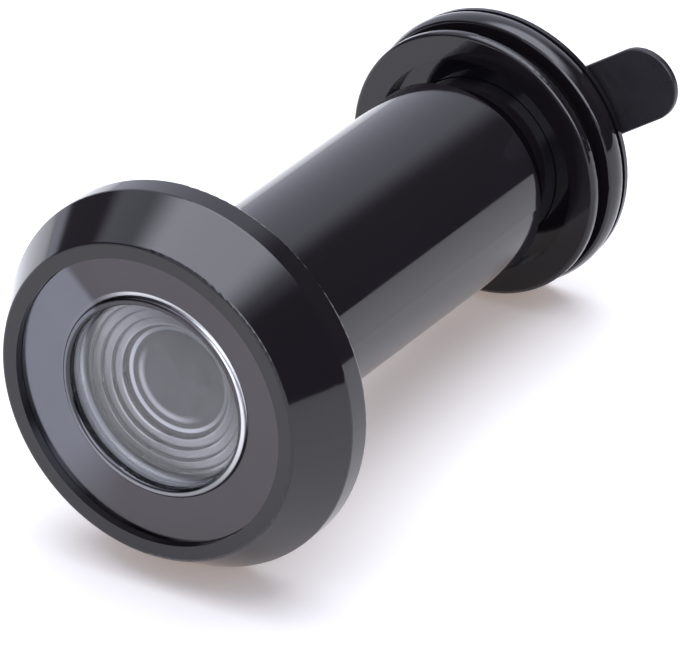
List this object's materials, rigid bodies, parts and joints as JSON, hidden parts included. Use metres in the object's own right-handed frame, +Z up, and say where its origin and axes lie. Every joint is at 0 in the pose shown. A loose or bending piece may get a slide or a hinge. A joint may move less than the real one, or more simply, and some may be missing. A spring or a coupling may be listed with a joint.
{
  "type": "door viewer",
  "caption": "Door viewer: bevelled head with a wide front lens on a plain tube, screwed to a rear barrel with an eyepiece and a swinging cover leaf.",
  "frame": {"origin": "on the optical axis, in the plane where the front head seats on the door", "axes": "+Y runs along the barrel from the front lens to the eyepiece, +Z is up, +X is to the right seen from the front"},
  "size_m": [0.0264, 0.0447, 0.0264],
  "materials": {
    "black_metal": "gloss black plating on brass",
    "dark_ring": "gloss dark grey plating",
    "lens_glass": "polished clear glass",
    "bright_baffle": "turned, satin",
    "spacer_metal": "black anodised, matte",
    "seal_rubber": "matte",
    "washer_plastic": "matte",
    "spring_steel": "bright rolled"
  },
  "bodies": {
    "front": {"front_barrel": "black_metal", "retaining_ring": "dark_ring", "lens_seal": "seal_rubber", "objective_lens": "lens_glass", "baffle_ring": "bright_baffle", "second_lens": "lens_glass", "lens_spacer": "spacer_metal", "third_lens": "lens_glass", "stack_cushion": "seal_rubber"},
    "washer": {"door_washer": "black_metal", "slip_washer": "washer_plastic"},
    "eyepiece": {"rear_barrel": "black_metal", "light_stop": "spacer_metal", "eyepiece_cushion": "seal_rubber", "eyepiece_lens": "lens_glass", "rear_cap": "black_metal", "cover_shim": "washer_plastic", "spring_washer": "spring_steel", "cover_rivet": "black_metal"},
    "cover": {"cover_leaf": "black_metal"}
  },
  "joints": [
    {"name": "barrel_extension", "type": "slide", "parent": "front", "child": "washer", "axis": [0, 1, 0], "range_m": [-0.002, 0.017]},
    {"name": "barrel_turn", "type": "hinge", "parent": "washer", "child": "eyepiece", "pos_m": [0, 0.0336, 0], "axis": [0, 1, 0], "range_deg": [-720, 6120]},
    {"name": "cover_swing", "type": "hinge", "parent": "eyepiece", "child": "cover", "pos_m": [0.00521, 0.038, 0.00346], "axis": [0, 1, 0], "range_deg": [-180, 180]}
  ],
  "couplings": [
    {"joint": "barrel_extension", "follows": "barrel_turn", "m_per_rad": 0.00015915}
  ]
}
